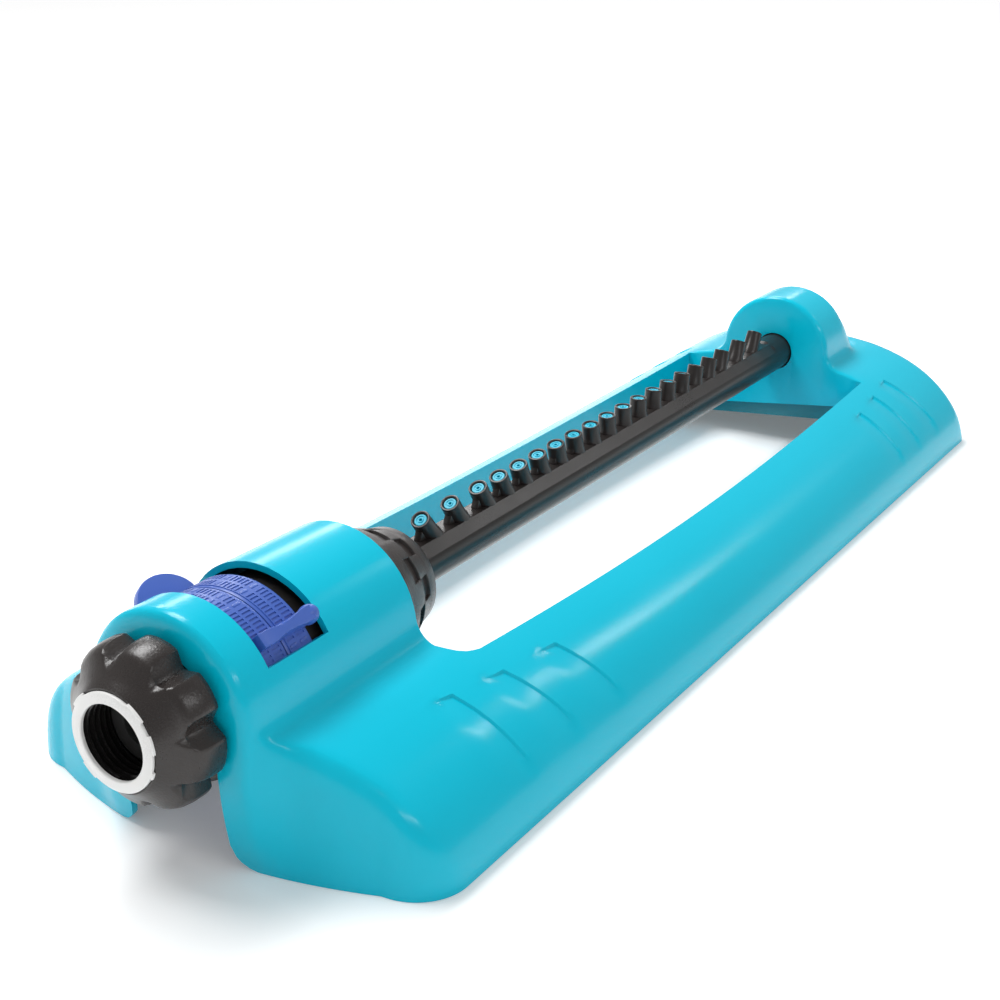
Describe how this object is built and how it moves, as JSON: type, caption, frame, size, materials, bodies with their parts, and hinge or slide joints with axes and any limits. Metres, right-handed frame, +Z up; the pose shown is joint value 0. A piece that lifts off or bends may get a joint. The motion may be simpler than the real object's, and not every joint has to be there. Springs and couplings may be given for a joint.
{
  "type": "oscillating lawn sprinkler",
  "caption": "Low oscillating lawn sprinkler: open-framed moulded base, swinging spray tube with a row of spouts, geared motor hump, range rings and swivel hose nut.",
  "frame": {"origin": "on the ground, under the middle of the whole sprinkler including its hose nut", "axes": "+X along the spray tube from the hose nut to the far end, +Y across the base, +Z up"},
  "size_m": [0.5376, 0.1734, 0.0827],
  "materials": {
    "shell_plastic": "glossy turquoise moulded plastic",
    "ring_plastic": "satin blue moulded plastic",
    "black_plastic": "satin warm black moulded plastic",
    "jet_rubber": "soft turquoise rubber",
    "plated_metal": "bright fine-turned face",
    "steel": "zinc-plated",
    "rubber": "matt black",
    "gear_plastic": "natural acetal"
  },
  "bodies": {
    "base": {"base_shell": "shell_plastic", "hose_washer": "rubber", "inlet_spigot": "black_plastic", "filter_screen": "steel", "spigot_oring": "rubber", "motor_front_cover": "black_plastic", "front_cover_screw_1": "steel", "front_cover_screw_2": "steel", "front_cover_screw_3": "steel", "motor_case": "black_plastic", "jet_plate": "gear_plastic", "centre_axle": "steel", "bulkhead": "gear_plastic", "lay_axle": "steel", "motor_rear_cover": "black_plastic", "rear_cover_screw_1": "steel", "rear_cover_screw_2": "steel", "rear_cover_screw_3": "steel", "shaft_oring": "rubber", "lever_pin": "steel", "snap_spring": "steel", "motor_saddle": "black_plastic", "saddle_screw_1": "steel", "saddle_screw_2": "steel", "saddle_screw_3": "steel", "saddle_screw_4": "steel", "far_bush": "gear_plastic", "bush_retainer": "black_plastic", "retainer_screw_1": "steel", "retainer_screw_2": "steel"},
    "nut": {"inlet_nut": "black_plastic", "thread_insert": "plated_metal"},
    "tube": {"spray_tube": "black_plastic", "nozzle_strip": "jet_rubber", "tube_collar": "black_plastic", "output_shaft": "gear_plastic", "tube_end_plug": "shell_plastic", "end_plug_oring": "rubber"},
    "turbine": {"turbine_wheel": "gear_plastic"},
    "lay_gear_a": {"lay_gear_1": "gear_plastic"},
    "middle_pair": {"middle_gear": "gear_plastic"},
    "lay_gear_b": {"lay_gear_2": "gear_plastic"},
    "lever": {"reversing_lever": "gear_plastic"},
    "near_ring": {"range_ring_near": "ring_plastic"},
    "far_ring": {"range_ring_far": "ring_plastic"}
  },
  "joints": [
    {"name": "inlet_nut_spin", "type": "hinge", "parent": "base", "child": "nut", "pos_m": [-0.25815, 0, 0.0501], "axis": [1, 0, 0], "continuous": true},
    {"name": "tube_swing", "type": "hinge", "parent": "base", "child": "tube", "pos_m": [0.03335, 0, 0.0501], "axis": [1, 0, 0], "range_deg": [-50, 50]},
    {"name": "turbine_spin", "type": "hinge", "parent": "base", "child": "turbine", "pos_m": [-0.23015, 0, 0.0501], "axis": [1, 0, 0], "continuous": true},
    {"name": "lay_gear_a_spin", "type": "hinge", "parent": "base", "child": "lay_gear_a", "pos_m": [-0.21815, 0.012, 0.0501], "axis": [1, 0, 0], "continuous": true},
    {"name": "middle_pair_spin", "type": "hinge", "parent": "base", "child": "middle_pair", "pos_m": [-0.21315, 0, 0.0501], "axis": [1, 0, 0], "continuous": true},
    {"name": "lay_gear_b_spin", "type": "hinge", "parent": "base", "child": "lay_gear_b", "pos_m": [-0.20815, 0.012, 0.0501], "axis": [1, 0, 0], "continuous": true},
    {"name": "lever_flip", "type": "hinge", "parent": "base", "child": "lever", "pos_m": [-0.19515, -0.015, 0.0501], "axis": [1, 0, 0], "range_deg": [-16, 16], "deforming": ["snap_spring"]},
    {"name": "near_ring_turn", "type": "hinge", "parent": "base", "child": "near_ring", "pos_m": [-0.22455, 0, 0.0501], "axis": [1, 0, 0], "range_deg": [-4, 40]},
    {"name": "far_ring_turn", "type": "hinge", "parent": "base", "child": "far_ring", "pos_m": [-0.21285, 0, 0.0501], "axis": [1, 0, 0], "range_deg": [-35, 8]}
  ],
  "couplings": [
    {"joint": "turbine_spin", "follows": "tube_swing", "ratio": 57.191},
    {"joint": "lay_gear_a_spin", "follows": "tube_swing", "ratio": -20.797},
    {"joint": "middle_pair_spin", "follows": "tube_swing", "ratio": 7.5625},
    {"joint": "lay_gear_b_spin", "follows": "tube_swing", "ratio": -2.75}
  ]
}
